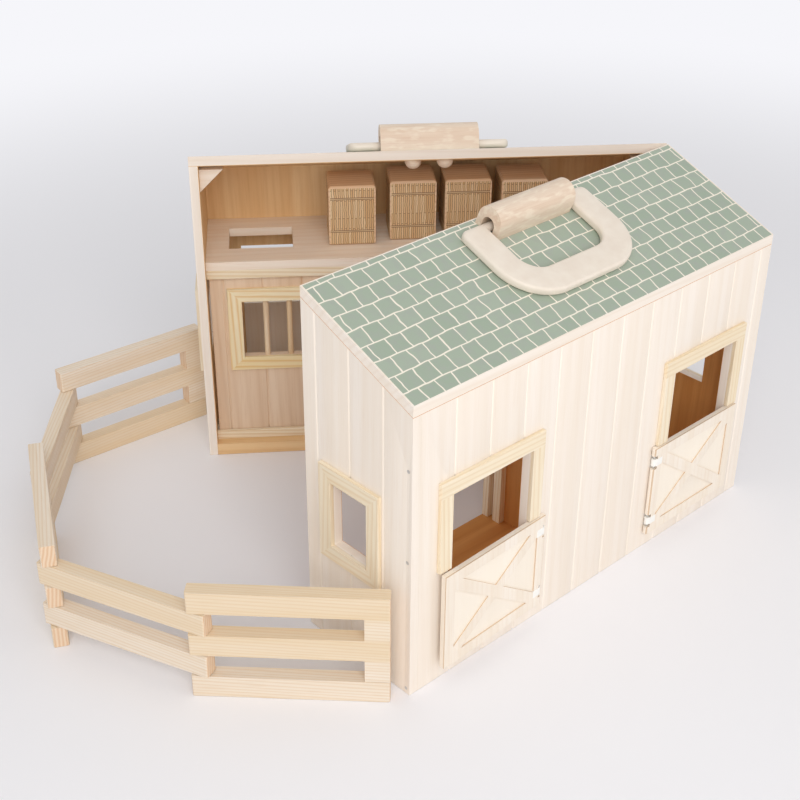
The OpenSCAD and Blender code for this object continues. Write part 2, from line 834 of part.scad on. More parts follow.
module far_left_leaf() color(PINE) far_half() leaf(-1, 0);
module far_left_straps() color(WHITE) far_half() straps(-1, 0);
module far_right_leaf() color(PINE) far_half() leaf(1, 0);
module far_right_straps() color(WHITE) far_half() straps(1, 0);
module far_handle() color(CREAM) far_half() handle(0);
module left_stall_panel() color(TAN) far_half() stall_panel(-1, 0);
module left_stall_frame() color(PINE) far_half() stall_frame(-1, 0);
module left_stall_bars() color(PINE) far_half() stall_bars(-1, 0);
module right_stall_panel() color(TAN) far_half() stall_panel(1, 1);
module right_stall_frame() color(PINE) far_half() stall_frame(1, 1);
module right_stall_bars() color(PINE) far_half() stall_bars(1, 1);
module fence_panel_1() color(PINE) outer_panel(1);
module fence_panel_2() color(PINE) inner_panel(2);
module fence_panel_3() color(PINE) outer_panel(3);
module fence_panel_4() color(PINE) inner_panel(4);
module fence_panel_5() color(PINE) outer_panel(5);
module fence_pins_2() color(TAN) inner_pins(2);
module fence_pins_4() color(TAN) inner_pins(4);
module hay_bale_1() color(STRAW) far_half() bale(0);
module hay_bale_2() color(STRAW) far_half() bale(1);
module hay_bale_3() color(STRAW) far_half() bale(2);
module hay_bale_4() color(STRAW) far_half() bale(3);

near_base();
near_long_wall();
near_left_wall();
near_right_wall();
near_roof();
near_partition();
near_partition_strips();
near_door_trims();
near_window_trims();
near_handle_block();
near_block_caps();
near_door_staples();
near_nails();
near_hinge_leaves();
hinge_pins();
near_left_leaf();
near_left_straps();
near_right_leaf();
near_right_straps();
near_handle();
far_base();
far_long_wall();
far_left_wall();
far_right_wall();
far_roof();
far_partition();
far_door_trims();
far_window_trims();
far_handle_block();
far_block_caps();
far_door_staples();
far_nails();
far_hinge_leaves();
far_loft_floor();
far_track_header();
far_track_sill();
far_gussets();
far_left_leaf();
far_left_straps();
far_right_leaf();
far_right_straps();
far_handle();
left_stall_panel();
left_stall_frame();
left_stall_bars();
right_stall_panel();
right_stall_frame();
right_stall_bars();
fence_panel_1();
fence_panel_2();
fence_panel_3();
fence_panel_4();
fence_panel_5();
fence_pins_2();
fence_pins_4();
hay_bale_1();
hay_bale_2();
hay_bale_3();
hay_bale_4();
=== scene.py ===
import json
import math

import bmesh
import bpy
import numpy as np
from mathutils import Matrix, Vector

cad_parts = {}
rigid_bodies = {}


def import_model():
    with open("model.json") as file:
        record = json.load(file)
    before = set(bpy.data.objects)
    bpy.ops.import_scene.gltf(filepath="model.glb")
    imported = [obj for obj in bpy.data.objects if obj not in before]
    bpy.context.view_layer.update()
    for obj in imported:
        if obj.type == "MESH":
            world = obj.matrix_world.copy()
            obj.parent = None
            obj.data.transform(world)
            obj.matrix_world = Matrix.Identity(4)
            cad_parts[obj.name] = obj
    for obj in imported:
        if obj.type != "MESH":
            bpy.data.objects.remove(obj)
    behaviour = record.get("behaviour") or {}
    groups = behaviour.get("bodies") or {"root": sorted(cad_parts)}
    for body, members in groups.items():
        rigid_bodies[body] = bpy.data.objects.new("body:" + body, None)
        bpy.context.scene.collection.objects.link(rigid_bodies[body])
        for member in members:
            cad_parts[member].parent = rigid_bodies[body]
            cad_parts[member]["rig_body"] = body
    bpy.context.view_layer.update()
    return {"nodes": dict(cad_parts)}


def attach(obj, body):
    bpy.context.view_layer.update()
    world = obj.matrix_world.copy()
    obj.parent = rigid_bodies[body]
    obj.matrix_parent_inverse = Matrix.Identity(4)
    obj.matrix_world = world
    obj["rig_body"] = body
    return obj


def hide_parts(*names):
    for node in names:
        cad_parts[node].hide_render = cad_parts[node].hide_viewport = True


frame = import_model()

# The studio: a wide pale floor, one large soft lamp in front on the left, a weak one on the right
# and an even pale surround. The camera stands where the photograph was taken from.
CAMERA_SPOT = (-0.6137, -0.5097, 0.5973)
CAMERA_AZIMUTH = math.radians(-43.18)
CAMERA_ELEVATION = math.radians(30.94)
CAMERA_ROLL = math.radians(0.456)
CAMERA_LENS_MM = 62.25
SENSOR_MM = 36.0
FLOOR_HALF = 6.0
FLOOR_DROP = 0.0002
SURROUND = 0.60
HAZE_NEAR = 0.55
HAZE_FAR = 1.3
LAMP_WIDE = 1.5
LAMP_TARGET = (0.0, 0.0, 0.1)
BACKDROP_TONE = "#f5f5f8"
HAZE_TONE = "#f6f6fa"
PAPER_TONES = ("#f6f5f9", "#f4f4f8")
PAPER_MOTTLE_PER_M = 1.5
NEAREST_SEEN = 0.01


def ink(code):
    """Turns an sRGB hex colour into linear light: c / 12.92 when dark, and otherwise
    ((c + 0.055) / 1.055) to the power 2.4."""
    srgb = [int(code[i:i + 2], 16) / 255 for i in (1, 3, 5)]
    return [c / 12.92 if c <= 0.04045 else ((c + 0.055) / 1.055) ** 2.4 for c in srgb] + [1.0]


def add(tree, kind, sockets=(), **settings):
    """Adds one shader node with its own settings, then gives each socket a value or a link. A node
    given as a value stands for its first output in use."""
    made = tree.nodes.new("ShaderNode" + kind)
    for name, value in settings.items():
        setattr(made, name, value)
    for name, value in dict(sockets).items():
        if isinstance(value, bpy.types.Node):
            value = next(out for out in value.outputs if out.enabled)
        if isinstance(value, bpy.types.NodeSocket):
            tree.links.new(value, made.inputs[name])
        else:
            made.inputs[name].default_value = value
    return made


def new_finish(name):
    """Starts an empty material and gives back its node tree and the socket that takes its surface."""
    finish = bpy.data.materials.new(name)
    finish.use_nodes = True
    finish.node_tree.nodes.clear()
    out = add(finish.node_tree, "OutputMaterial")
    return finish, finish.node_tree, out.inputs["Surface"]


def aim(thing, spot, target):
    """Puts a lamp at a spot with its light thrown at the target."""
    thing.location = spot
    thing.rotation_euler = (Vector(target) - Vector(spot)).to_track_quat("-Z", "Y").to_euler()


back = Vector((math.sin(CAMERA_AZIMUTH) * math.cos(CAMERA_ELEVATION),
               -math.cos(CAMERA_AZIMUTH) * math.cos(CAMERA_ELEVATION),
               math.sin(CAMERA_ELEVATION)))
level_right = Vector((math.cos(CAMERA_AZIMUTH), math.sin(CAMERA_AZIMUTH), 0.0))
level_up = back.cross(level_right)
right = level_right * math.cos(CAMERA_ROLL) + level_up * math.sin(CAMERA_ROLL)
up = back.cross(right)
camera = bpy.data.objects.new("camera", bpy.data.cameras.new("camera"))
camera.data.lens = CAMERA_LENS_MM
camera.data.sensor_width = SENSOR_MM
camera.data.clip_start = NEAREST_SEEN
camera.matrix_world = Matrix.Translation(CAMERA_SPOT) @ Matrix((right, up, back)).transposed().to_4x4()
bpy.context.scene.collection.objects.link(camera)
bpy.context.scene.camera = camera
bpy.context.scene.view_settings.view_transform = "Standard"

LAMPS = {
    "front_lamp": ((-1.15, -1.45, 1.40), 24.5, "#fffdfa"),
    "right_lamp": ((1.1, -1.9, 0.9), 4.0, "#ffffff"),
}
for name, (spot, watts, tint) in LAMPS.items():
    lamp = bpy.data.objects.new(name, bpy.data.lights.new(name, "AREA"))
    lamp.data.size = LAMP_WIDE
    lamp.data.energy = watts
    lamp.data.color = ink(tint)[:3]
    bpy.context.scene.collection.objects.link(lamp)
    aim(lamp, spot, LAMP_TARGET)

# The surround is plain white light; the camera and mirrors see the floor's own pale tone instead
world = bpy.data.worlds.new("studio")
bpy.context.scene.world = world
world.use_nodes = True
world.node_tree.nodes.clear()
light_path = add(world.node_tree, "LightPath")
viewers = {0: light_path.outputs["Is Camera Ray"], 1: light_path.outputs["Is Glossy Ray"]}
seen = add(world.node_tree, "Math", viewers, operation="MAXIMUM")
even_light = add(world.node_tree, "Background", {"Color": ink("#ffffff"), "Strength": SURROUND})
backdrop = add(world.node_tree, "Background", {"Color": ink(BACKDROP_TONE), "Strength": 1.0})
both = add(world.node_tree, "MixShader", {0: seen, 1: even_light, 2: backdrop})
add(world.node_tree, "OutputWorld", {"Surface": both})

floor_mesh = bpy.data.meshes.new("studio_floor")
floor_mesh.from_pydata([(-FLOOR_HALF, -FLOOR_HALF, -FLOOR_DROP), (FLOOR_HALF, -FLOOR_HALF, -FLOOR_DROP),
                        (FLOOR_HALF, FLOOR_HALF, -FLOOR_DROP), (-FLOOR_HALF, FLOOR_HALF, -FLOOR_DROP)],
                       [], [(0, 1, 2, 3)])
studio_floor = bpy.data.objects.new("studio_floor", floor_mesh)
bpy.context.scene.collection.objects.link(studio_floor)
# Far from the barn the camera sees the paper fade into the backdrop; near it the paper takes shadows
paper, tree, surface = new_finish("studio paper")
spot = add(tree, "TexCoord").outputs["Object"]
mottle = add(tree, "TexNoise", {"Vector": spot, "Scale": PAPER_MOTTLE_PER_M}).outputs["Fac"]
tone = add(tree, "Mix", {"Factor": mottle, "A": ink(PAPER_TONES[0]), "B": ink(PAPER_TONES[1])},
           data_type="RGBA")
matte = add(tree, "BsdfDiffuse", {"Color": tone})
glow = add(tree, "Emission", {"Color": ink(HAZE_TONE), "Strength": 1.0})
reach = add(tree, "VectorMath", {0: spot}, operation="LENGTH").outputs["Value"]
haze = add(tree, "MapRange", {"Value": reach, "From Min": HAZE_NEAR, "From Max": HAZE_FAR},
           interpolation_type="SMOOTHSTEP")
seen = add(tree, "LightPath").outputs["Is Camera Ray"]
viewed = add(tree, "Math", {0: haze, 1: seen}, operation="MULTIPLY")
ground = add(tree, "MixShader", {0: viewed, 1: matte, 2: glow})
tree.links.new(ground.outputs[0], surface)
floor_mesh.materials.append(paper)


# The shell of each half: a base board, a grooved long wall and two grooved end walls of 6.5 mm
# plywood, glued and nailed. Outside it has a thin cream wash; inside it is bare and warm.
HALF_X = 0.170
WALL_T = 0.0065
EAVE_H = 0.2087
HINGE = (0.1723, 0.0952)
OPEN_ANGLE = math.radians(37.4)
ROW_BACK = 0.0475
EDGE_MM = 0.3
INSIDE_SLACK = 0.0003
GROOVE_DEPTH = 0.0010
MERGE = 1e-6
FLAT_ANGLE = math.radians(0.3)
SHARP_ANGLE = math.radians(30)
MM = 1000
# Streaks are 25 times as long as wide. The diagonal wave texture repeats every 0.628 / its scale.
STREAK = 0.04
FINE_PER_M = 900.0
BROAD_PER_M = 90.0
WAVE_MM = 628.0
LINE_POWER = 3.0
SPECK_SHARE = 0.30
RELIEF_SHARE = 0.6
WOOD_IOR = 1.5


def half_place(tree, far):
    """Position in a half's own frame: x from its middle, y from its long wall to the ridge, z up.
    The far half's frame is turned back by its opening angle about the hinge, then mirrored."""
    place = add(tree, "TexCoord").outputs["Object"]
    if not far:
        shift = {"Vector": place, "Location": (0.0, -ROW_BACK, 0.0)}
        return add(tree, "Mapping", shift, vector_type="TEXTURE")
    turn = {"Vector": place, "Location": (HINGE[0], HINGE[1] - ROW_BACK, 0.0),
            "Rotation": (0.0, 0.0, -OPEN_ANGLE), "Scale": (1.0, -1.0, 1.0)}
    turned = add(tree, "Mapping", turn, vector_type="TEXTURE")
    return add(tree, "Mapping", {"Vector": turned, "Location": (HINGE[0], HINGE[1], 0.0)})


def grain(tree, place, along, tones, line_mm, line_share, shift=0.0):
    """Wood figure. Noise drawn out 25 times along the grain gives the pale and warm streaks, and
    bands about line_mm apart, bent by a second drawn-out noise, give the growth lines.
    tones are the pale, the warm and the line colour. Gives the colour and the fine streaks."""
    stretch = [1.0, 1.0, 1.0]
    stretch[along] = STREAK
    drawn = add(tree, "Mapping", {"Vector": place, "Scale": stretch, "Location": (shift,) * 3})
    fine = add(tree, "TexNoise", {"Vector": drawn, "Scale": FINE_PER_M, "Detail": 3.0}).outputs["Fac"]
    broad = add(tree, "TexNoise", {"Vector": drawn, "Scale": BROAD_PER_M, "Detail": 2.0}).outputs["Fac"]
    bands = add(tree, "TexWave", {"Vector": drawn, "Scale": WAVE_MM / line_mm, "Distortion": 5.0,
                                  "Detail": 1.5, "Detail Scale": 0.35, "Detail Roughness": 0.6},
                bands_direction="DIAGONAL").outputs["Fac"]
    warm = add(tree, "MapRange", {"Value": broad, "From Min": 0.35, "From Max": 0.65})
    body = add(tree, "Mix", {"Factor": warm, "A": ink(tones[0]), "B": ink(tones[1])}, data_type="RGBA")
    narrow = add(tree, "Math", {0: bands, 1: LINE_POWER}, operation="POWER")
    lines = add(tree, "Math", {0: narrow, 1: line_share}, operation="MULTIPLY")
    lined = add(tree, "Mix", {"Factor": lines, "A": body, "B": ink(tones[2])}, data_type="RGBA")
    dots = add(tree, "MapRange", {"Value": fine, "From Min": 0.52, "From Max": 0.75})
    speck = add(tree, "Math", {0: dots, 1: SPECK_SHARE}, operation="MULTIPLY")
    return add(tree, "Mix", {"Factor": speck, "A": lined, "B": ink(tones[2])}, data_type="RGBA"), fine


def close(tree, surface, colour, relief, depth_mm, roughness):
    """Ends a finish: its colour on a rough dielectric, with the streaks as a relief of depth_mm."""
    bump = add(tree, "Bump", {"Height": relief, "Distance": depth_mm / MM, "Strength": RELIEF_SHARE})
    wood = add(tree, "BsdfPrincipled", {"Base Color": colour, "Roughness": roughness, "IOR": WOOD_IOR,
                                        "Normal": bump})
    tree.links.new(wood.outputs[0], surface)


def sanded(name, finish, edge_mm):
    """Copies a CAD board, merges its corners, drops the lines across its flat faces and rounds its
    sharp edges by edge_mm, as sandpaper does. The copy stands for the board on the same body."""
    cad = frame["nodes"][name]
    work = bmesh.new()
    work.from_mesh(cad.data)
    bmesh.ops.remove_doubles(work, verts=work.verts, dist=MERGE)
    bmesh.ops.dissolve_limit(work, angle_limit=FLAT_ANGLE, verts=work.verts, edges=work.edges)
    mesh = bpy.data.meshes.new(name + "_sanded")
    work.to_mesh(mesh)
    work.free()
    mesh.shade_smooth()
    mesh.set_sharp_from_angle(angle=SHARP_ANGLE)
    mesh.materials.append(finish)
    piece = bpy.data.objects.new(name + "_sanded", mesh)
    bpy.context.scene.collection.objects.link(piece)
    rounding = piece.modifiers.new("sanded edges", "BEVEL")
    rounding.width = edge_mm / MM
    rounding.segments = 2
    rounding.limit_method = "ANGLE"
    rounding.angle_limit = SHARP_ANGLE
    rounding.harden_normals = True
    dress(name, finish)
    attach(piece, cad["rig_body"])
    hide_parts(name)
    return piece


def dress(name, finish):
    """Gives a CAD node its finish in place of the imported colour."""
    cad = frame["nodes"][name]
    cad.data.materials.clear()
    cad.data.materials.append(finish)


# Birch plywood: faint upright grain. The grooves are painted paler, a painted highlight for the lit side
# of each groove. Inside, the far half is a warm straw colour; the near half's deep caramel is painted
# shade.
WASH_TONES = ("#f6ece1", "#f2e6d8", "#e9d8c5")
BARE_TONES_NEAR_PAINTED_SHADE = {"near": ("#dc9f5c", "#cf8e4a", "#b87636"), "far": ("#efcd9d", "#e6be8a", "#cf9f6b")}
GROOVE_HIGHLIGHT_TONE = "#fbf4ea"
GROOVE_LIP = 0.0001
GROOVE_HIGHLIGHT_SHARE = 0.6


def shell_plywood(name, far, along, tones):
    """Plywood that is washed outside and bare inside: bare where |x| and y lie within the room."""
    finish, tree, surface = new_finish(name)
    place = half_place(tree, far)
    axes = add(tree, "SeparateXYZ", {"Vector": place})
    side = add(tree, "Math", {0: axes.outputs["X"]}, operation="ABSOLUTE")
    in_x = add(tree, "Math", {0: side, 1: HALF_X - WALL_T + INSIDE_SLACK}, operation="LESS_THAN")
    in_y = add(tree, "Math", {0: axes.outputs["Y"], 1: WALL_T - INSIDE_SLACK}, operation="GREATER_THAN")
    inside = add(tree, "Math", {0: in_x, 1: in_y}, operation="MULTIPLY")
    past_end = add(tree, "Math", {0: HALF_X, 1: side}, operation="SUBTRACT")
    depth = add(tree, "Math", {0: axes.outputs["Y"], 1: past_end}, operation="MINIMUM")
    # Within the groove depth the outer wash turns pale: a painted highlight for the lit side of each
    # groove.
    cut = add(tree, "MapRange", {"Value": depth, "From Min": GROOVE_LIP, "From Max": GROOVE_DEPTH * 0.6})
    shallow = add(tree, "Math", {0: depth, 1: GROOVE_DEPTH}, operation="LESS_THAN")
    in_groove = add(tree, "Math", {0: cut, 1: shallow}, operation="MULTIPLY")
    groove_highlight = add(tree, "Math", {0: in_groove, 1: GROOVE_HIGHLIGHT_SHARE}, operation="MULTIPLY")
    washed, fine = grain(tree, place, along, WASH_TONES, 9.0, 0.15)
    bare, _ = grain(tree, place, along, tones, 7.0, 0.18, shift=0.4)
    outside = add(tree, "Mix", {"Factor": groove_highlight, "A": washed, "B": ink(GROOVE_HIGHLIGHT_TONE)}, data_type="RGBA")
    colour = add(tree, "Mix", {"Factor": inside, "A": outside, "B": bare}, data_type="RGBA")
    close(tree, surface, colour, fine, 0.04, 0.62)
    return finish


# For the near half the bare inside tones are painted shade: the same plywood drawn darker and deeper than
# the far half.
for far, half in ((False, "near"), (True, "far")):
    upright = shell_plywood(f"{half} cream-washed birch plywood", far, 2, BARE_TONES_NEAR_PAINTED_SHADE[half])
    flat = shell_plywood(f"{half} bare birch plywood", far, 0, BARE_TONES_NEAR_PAINTED_SHADE[half])
    for wall in ("long_wall", "left_wall", "right_wall"):
        sanded(f"{half}_{wall}", upright, EDGE_MM)
    sanded(f"{half}_base", flat, EDGE_MM)
    sanded(f"{half}_partition", upright, EDGE_MM)


# The strips on the near divider: two upright pine lengths glued to its left face.
# The pine is cream with tan growth lines about 3 mm apart.
PINE_TONES = ("#f5e9d3", "#f0dfc1", "#dcbc8a")


def barn_pine(name, far, along, line_mm, line_share):
    """Pine in one half's frame, with its grain along one axis and growth lines line_mm apart."""
    finish, tree, surface = new_finish(name)
    colour, fine = grain(tree, half_place(tree, far), along, PINE_TONES, line_mm, line_share)
    close(tree, surface, colour, fine, 0.05, 0.55)
    return finish


sanded("near_partition_strips", barn_pine("divider pine", False, 2, 3.0, 0.5), EDGE_MM)


# The loft of the far half: a plywood floor with a hatch, on the end walls, and a small triangular
# gusset under each end of the roof. The grain runs along the half.
LOFT_TONES = ("#f7ebdd", "#f3e2cf", "#e2c7a8")
GUSSET_TONES = ("#f3e6d8", "#eddcca", "#dfc6a9")
loft_ply = shell_plywood("loft birch plywood", True, 0, LOFT_TONES)
sanded("far_loft_floor", loft_ply, EDGE_MM)
gusset_ply = shell_plywood("gusset birch plywood", True, 0, GUSSET_TONES)
sanded("far_gussets", gusset_ply, EDGE_MM)


# The two grooved tracks of the stall doors: a pine header under the loft and a pine sill on the base.
# Both are glued, and the doors stand in their two grooves.
track_pine = barn_pine("track pine", True, 0, 3.2, 0.6)
for name in ("far_track_header", "far_track_sill"):
    sanded(name, track_pine, EDGE_MM)


# The roof panels: 6.8 mm plywood with tiles printed on top in sage green, about 12.7 mm wide in
# courses of 12.6 mm, and left pale at the joints and round the rim.
ROOF_PITCH = math.radians(22.15)
ROOF_T_MM = 6.8
RIDGE_MM = 102.57
TILE_MM = 12.7
COURSE_MM = 12.6
COURSE_FIRST_MM = 10.0
WAVER_MM = (5.5, 3.2, 0.0)
JOINT_MM = 1.1
JOINT_FIRST_MM = 5.5
RIM_MM = 1.3
EAVE_RIM_MM = 0.5
RIDGE_RIM_MM = 0.8
FACE_SLACK_MM = 0.25
UNDERSIDE_MM = 0.3
GREY_SHARE = 0.55
SAGE = ("#9fad9b", "#a8b4a3")
SAGE_GREY = "#a6a9a3"
JOINT_CREAM = "#f3ebdc"


def roof_print(name, far, tones):
    """Tiles in rows: a brick pattern in mm on the slope, its lines moved a little by noise, so that
    they waver as printed stone does. Above the print's rim and on the edges the board shows."""
    finish, tree, surface = new_finish(name)
    place = half_place(tree, far)
    slope = add(tree, "Mapping", {"Vector": place, "Location": (0.0, 0.0, EAVE_H),
                                  "Rotation": (ROOF_PITCH, 0.0, 0.0), "Scale": (1 / MM,) * 3},
                vector_type="TEXTURE")
    axes = add(tree, "SeparateXYZ", {"Vector": slope})
    start = (HALF_X * MM - JOINT_FIRST_MM, COURSE_MM - COURSE_FIRST_MM, 0.0)
    laid = add(tree, "Mapping", {"Vector": slope, "Location": start})
    waver = add(tree, "TexNoise", {"Vector": laid, "Scale": 0.055, "Detail": 2.0}).outputs["Color"]
    centred = add(tree, "VectorMath", {0: waver, 1: (0.5, 0.5, 0.5)}, operation="SUBTRACT")
    moved = add(tree, "VectorMath", {0: centred, 1: WAVER_MM, 2: laid}, operation="MULTIPLY_ADD")
    bricks = add(tree, "TexBrick", {
        "Vector": moved, "Color1": ink(SAGE[0]), "Color2": ink(SAGE[1]), "Mortar": ink(JOINT_CREAM),
        "Scale": 1.0, "Mortar Size": JOINT_MM / 2, "Mortar Smooth": 0.25,
        "Brick Width": TILE_MM, "Row Height": COURSE_MM}, offset=0.5, offset_frequency=2)
    patch = add(tree, "TexNoise", {"Vector": laid, "Scale": 0.16, "Detail": 4.0}).outputs["Fac"]
    worn = add(tree, "MapRange", {"Value": patch, "From Min": 0.45, "From Max": 0.72})
    grey = add(tree, "Math", {0: worn, 1: GREY_SHARE}, operation="MULTIPLY")
    tile = add(tree, "Math", {0: 1.0, 1: bricks.outputs["Fac"]}, operation="SUBTRACT")
    grey_tile = add(tree, "Math", {0: grey, 1: tile}, operation="MULTIPLY")
    tiles = add(tree, "Mix", {"Factor": grey_tile, "A": bricks.outputs["Color"], "B": ink(SAGE_GREY)},
                data_type="RGBA")
    side = add(tree, "Math", {0: axes.outputs["X"]}, operation="ABSOLUTE")
    in_x = add(tree, "Math", {0: side, 1: HALF_X * MM - RIM_MM}, operation="LESS_THAN")
    in_low = add(tree, "Math", {0: axes.outputs["Y"], 1: EAVE_RIM_MM}, operation="GREATER_THAN")
    in_high = add(tree, "Math", {0: axes.outputs["Y"], 1: RIDGE_MM - RIDGE_RIM_MM}, operation="LESS_THAN")
    on_top = add(tree, "Math", {0: axes.outputs["Z"], 1: -FACE_SLACK_MM}, operation="GREATER_THAN")
    in_rim = add(tree, "Math", {0: in_x, 1: in_low}, operation="MULTIPLY")
    on_face = add(tree, "Math", {0: in_high, 1: on_top}, operation="MULTIPLY")
    printed = add(tree, "Math", {0: in_rim, 1: on_face}, operation="MULTIPLY")
    under = add(tree, "Math", {0: axes.outputs["Z"], 1: UNDERSIDE_MM - ROOF_T_MM}, operation="LESS_THAN")
    washed, fine = grain(tree, place, 0, WASH_TONES, 7.0, 0.35)
    bare, _ = grain(tree, place, 0, tones, 7.0, 0.18, shift=0.2)
    board = add(tree, "Mix", {"Factor": under, "A": washed, "B": bare}, data_type="RGBA")
    colour = add(tree, "Mix", {"Factor": printed, "A": board, "B": tiles}, data_type="RGBA")
    close(tree, surface, colour, fine, 0.03, 0.6)
    return finish


# The near roof's underside takes the near half's painted-shade tones.
for far, half in ((False, "near"), (True, "far")):
    tile_print = roof_print(f"{half} sage tile print on plywood", far, BARE_TONES_NEAR_PAINTED_SHADE[half])
    sanded(f"{half}_roof", tile_print, EDGE_MM)


# The applied trims: a pine lintel over two jambs at each doorway, and a mitred pine frame round
# each end window, glued on. The grain follows each length.
DOOR_TOP_Z = 0.1383
WINDOW_MID = (0.0524, 0.1018)
WINDOW_HALF = (0.01625, 0.0237)


def turned_grain(tree, place, lying, order):
    """Swaps the axes where the length lies flat, so that its grain can be drawn as if it stood."""
    axes = add(tree, "SeparateXYZ", {"Vector": place})
    turned = {target: axes.outputs[source] for target, source in enumerate(order)}
    swapped = add(tree, "CombineXYZ", turned)
    return add(tree, "Mix", {"Factor": lying, "A": place, "B": swapped}, data_type="VECTOR")


def mitre(tree, u, z, middle, half):
    """1 on the lying lengths of a mitred frame: there |z| is further past the opening than |u| is."""
    past = []
    for value, centre, half_opening in ((u, middle[0], half[0]), (z, middle[1], half[1])):
        offset = add(tree, "Math", {0: value, 1: centre}, operation="SUBTRACT")
        length = add(tree, "Math", {0: offset}, operation="ABSOLUTE")
        past.append(add(tree, "Math", {0: length, 1: half_opening}, operation="SUBTRACT"))
    return add(tree, "Math", {0: past[1], 1: past[0]}, operation="GREATER_THAN")


for far, half in ((False, "near"), (True, "far")):
    door_pine, tree, surface = new_finish(f"{half} doorway pine")
    place = half_place(tree, far)
    axes = add(tree, "SeparateXYZ", {"Vector": place})
    lintel = add(tree, "Math", {0: axes.outputs["Z"], 1: DOOR_TOP_Z}, operation="GREATER_THAN")
    colour, fine = grain(tree, turned_grain(tree, place, lintel, (2, 1, 0)), 2, PINE_TONES, 4.0, 0.35)
    close(tree, surface, colour, fine, 0.05, 0.55)
    sanded(f"{half}_door_trims", door_pine, EDGE_MM)

    window_pine, tree, surface = new_finish(f"{half} window pine")
    place = half_place(tree, far)
    axes = add(tree, "SeparateXYZ", {"Vector": place})
    lying = mitre(tree, axes.outputs["Y"], axes.outputs["Z"], WINDOW_MID, WINDOW_HALF)
    colour, fine = grain(tree, turned_grain(tree, place, lying, (0, 2, 1)), 2, PINE_TONES, 4.0, 0.35)
    close(tree, surface, colour, fine, 0.05, 0.55)
    sanded(f"{half}_window_trims", window_pine, EDGE_MM)


# The lower stable doors: 4 mm plywood leaves with four triangles cut 1 mm down, so that a frame and
# two crossed braces stand proud. The sunk triangles keep a paler wash than the frame. The steps down
# to them are painted tan: painted shade along the brace edges.
LEAF_FRONT_Y = -0.0044
LEAF_AXIS = (0.0575, -0.0024)
SUNK_D = 0.0010
LEAF_TONES = ("#f6ecdf", "#f1e4d3", "#e4cfb6")
SUNK_TONE = "#f8eedf"
BRACE_STEP_SHADE_TONE = "#cfae8a"
LEAF_TINT_SHARE = 0.8
LEAVES = {"near_left_leaf": (False, math.radians(2)), "near_right_leaf": (False, 0.0),
          "far_left_leaf": (True, 0.0), "far_right_leaf": (True, 0.0)}

for name, (far, ajar) in LEAVES.items():
    leaf_ply, tree, surface = new_finish(f"{name} washed plywood".replace("_", " "))
    place = half_place(tree, far)
    if ajar:
        hinge_line = (-LEAF_AXIS[0], LEAF_AXIS[1], 0.0)
        swing = {"Vector": place, "Location": hinge_line, "Rotation": (0.0, 0.0, ajar)}
        turned = add(tree, "Mapping", swing, vector_type="TEXTURE")
        place = add(tree, "Mapping", {"Vector": turned, "Location": hinge_line})
    axes = add(tree, "SeparateXYZ", {"Vector": place})
    depth = add(tree, "Math", {0: axes.outputs["Y"], 1: LEAF_FRONT_Y}, operation="SUBTRACT")
    below_face = add(tree, "Math", {0: depth, 1: SUNK_D * 0.15}, operation="GREATER_THAN")
    above_sunk = add(tree, "Math", {0: depth, 1: SUNK_D * 0.9}, operation="LESS_THAN")
    at_sunk = add(tree, "Math", {0: depth, 1: SUNK_D * 0.9}, operation="GREATER_THAN")
    not_past = add(tree, "Math", {0: depth, 1: SUNK_D * 1.1}, operation="LESS_THAN")
    sunk = add(tree, "Math", {0: at_sunk, 1: not_past}, operation="MULTIPLY")
    # The steps between the face and the sunk floor take the tan painted shade.
    wall = add(tree, "Math", {0: below_face, 1: above_sunk}, operation="MULTIPLY")
    colour, fine = grain(tree, place, 2, LEAF_TONES, 5.0, 0.15)
    for where, tone in ((sunk, SUNK_TONE), (wall, BRACE_STEP_SHADE_TONE)):
        share = add(tree, "Math", {0: where, 1: LEAF_TINT_SHARE}, operation="MULTIPLY")
        colour = add(tree, "Mix", {"Factor": share, "A": colour, "B": ink(tone)}, data_type="RGBA")
    close(tree, surface, colour, fine, 0.04, 0.6)
    sanded(name, leaf_ply, EDGE_MM)


# The door straps: small white moulded plastic hinges let into the leaves. The plastic is smooth,
# with the faint mottle of a moulded face.
STRAP_EDGE_MM = 0.25
strap_plastic, tree, surface = new_finish("white moulded polypropylene")
place = add(tree, "TexCoord").outputs["Object"]
mottle = add(tree, "TexNoise", {"Vector": place, "Scale": 1500.0, "Detail": 2.0}).outputs["Fac"]
colour = add(tree, "Mix", {"Factor": mottle, "A": ink("#fbfaf6"), "B": ink("#f3f1ec")}, data_type="RGBA")
close(tree, surface, colour, mottle, 0.01, 0.38)
for name in ("near_left_straps", "near_right_straps", "far_left_straps", "far_right_straps"):
    sanded(name, strap_plastic, STRAP_EDGE_MM)


# Steel: the wire staples that the straps turn on, the nails, and the butt hinges with their pins.
# It is bright and drawn or rolled, so it has fine scratches and small changes of gloss.
steel, tree, surface = new_finish("bright mild steel")
place = add(tree, "TexCoord").outputs["Object"]
drawn = add(tree, "Mapping", {"Vector": place, "Scale": (1.0, 1.0, 0.05)})
scratch = add(tree, "TexNoise", {"Vector": drawn, "Scale": 4000.0, "Detail": 2.0}).outputs["Fac"]
gloss = add(tree, "MapRange", {"Value": scratch, "To Min": 0.40, "To Max": 0.55})
colour = add(tree, "Mix", {"Factor": scratch, "A": ink("#dcdbd8"), "B": ink("#cac9c6")}, data_type="RGBA")
metal = add(tree, "BsdfPrincipled", {"Base Color": colour, "Metallic": 1.0, "Roughness": gloss})
tree.links.new(metal.outputs[0], surface)
for name in ("near_door_staples", "far_door_staples", "near_nails", "far_nails",
             "near_hinge_leaves", "far_hinge_leaves", "hinge_pins"):
    dress(name, steel)


